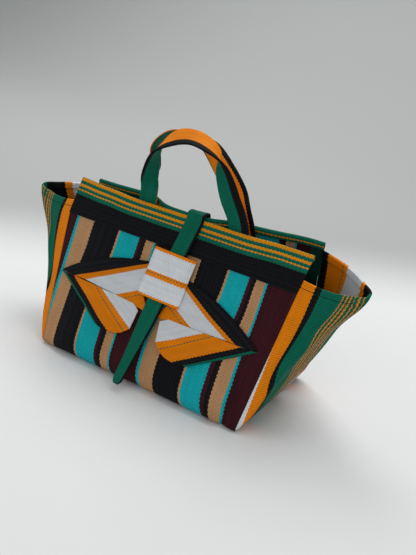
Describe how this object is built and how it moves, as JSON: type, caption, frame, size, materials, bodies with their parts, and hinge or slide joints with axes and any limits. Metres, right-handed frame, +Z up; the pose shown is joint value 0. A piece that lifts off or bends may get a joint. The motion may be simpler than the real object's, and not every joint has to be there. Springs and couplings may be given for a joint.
{
  "type": "tote bag",
  "caption": "Soft tote bag in striped woven cloth with folded gusset wings, twisted strap handles and a flat bow whose knot holds the closure strap.",
  "frame": {"origin": "middle of the base's underside, where the bag stands", "axes": "+X along the front from its left end to its right as seen from the front, +Y from the front to the back, +Z up"},
  "size_m": [0.4463, 0.1898, 0.2841],
  "materials": {
    "body_cloth": "ribbed weave with burgundy, turquoise, beige and black stripes",
    "gusset_left": "ribbed weave with orange, white, black and green stripes",
    "gusset_right": "ribbed weave with orange, white, black and green stripes",
    "front_band": "ribbed weave with green, orange and black stripes",
    "back_band": "ribbed weave with green, orange and black stripes",
    "handle_front": "ribbed weave, one half orange and one half green, black edge",
    "handle_back": "ribbed weave, one half orange and one half green, black edge",
    "closure_strap": "ribbed weave, green and orange with a black edge",
    "bow_wing_left": "ribbed weave, black edge, orange, dashed line and white",
    "bow_wing_right": "ribbed weave, black edge, orange, dashed line and white",
    "bow_knot": "ribbed weave, white with orange and dashed stripes"
  },
  "bodies": {
    "root": {"body_cloth": "body_cloth", "gusset_left": "gusset_left", "gusset_right": "gusset_right", "front_band": "front_band", "back_band": "back_band", "handle_front": "handle_front", "handle_back": "handle_back", "closure_strap": "closure_strap", "bow_wing_left": "bow_wing_left", "bow_wing_right": "bow_wing_right", "bow_knot": "bow_knot"}
  },
  "joints": []
}
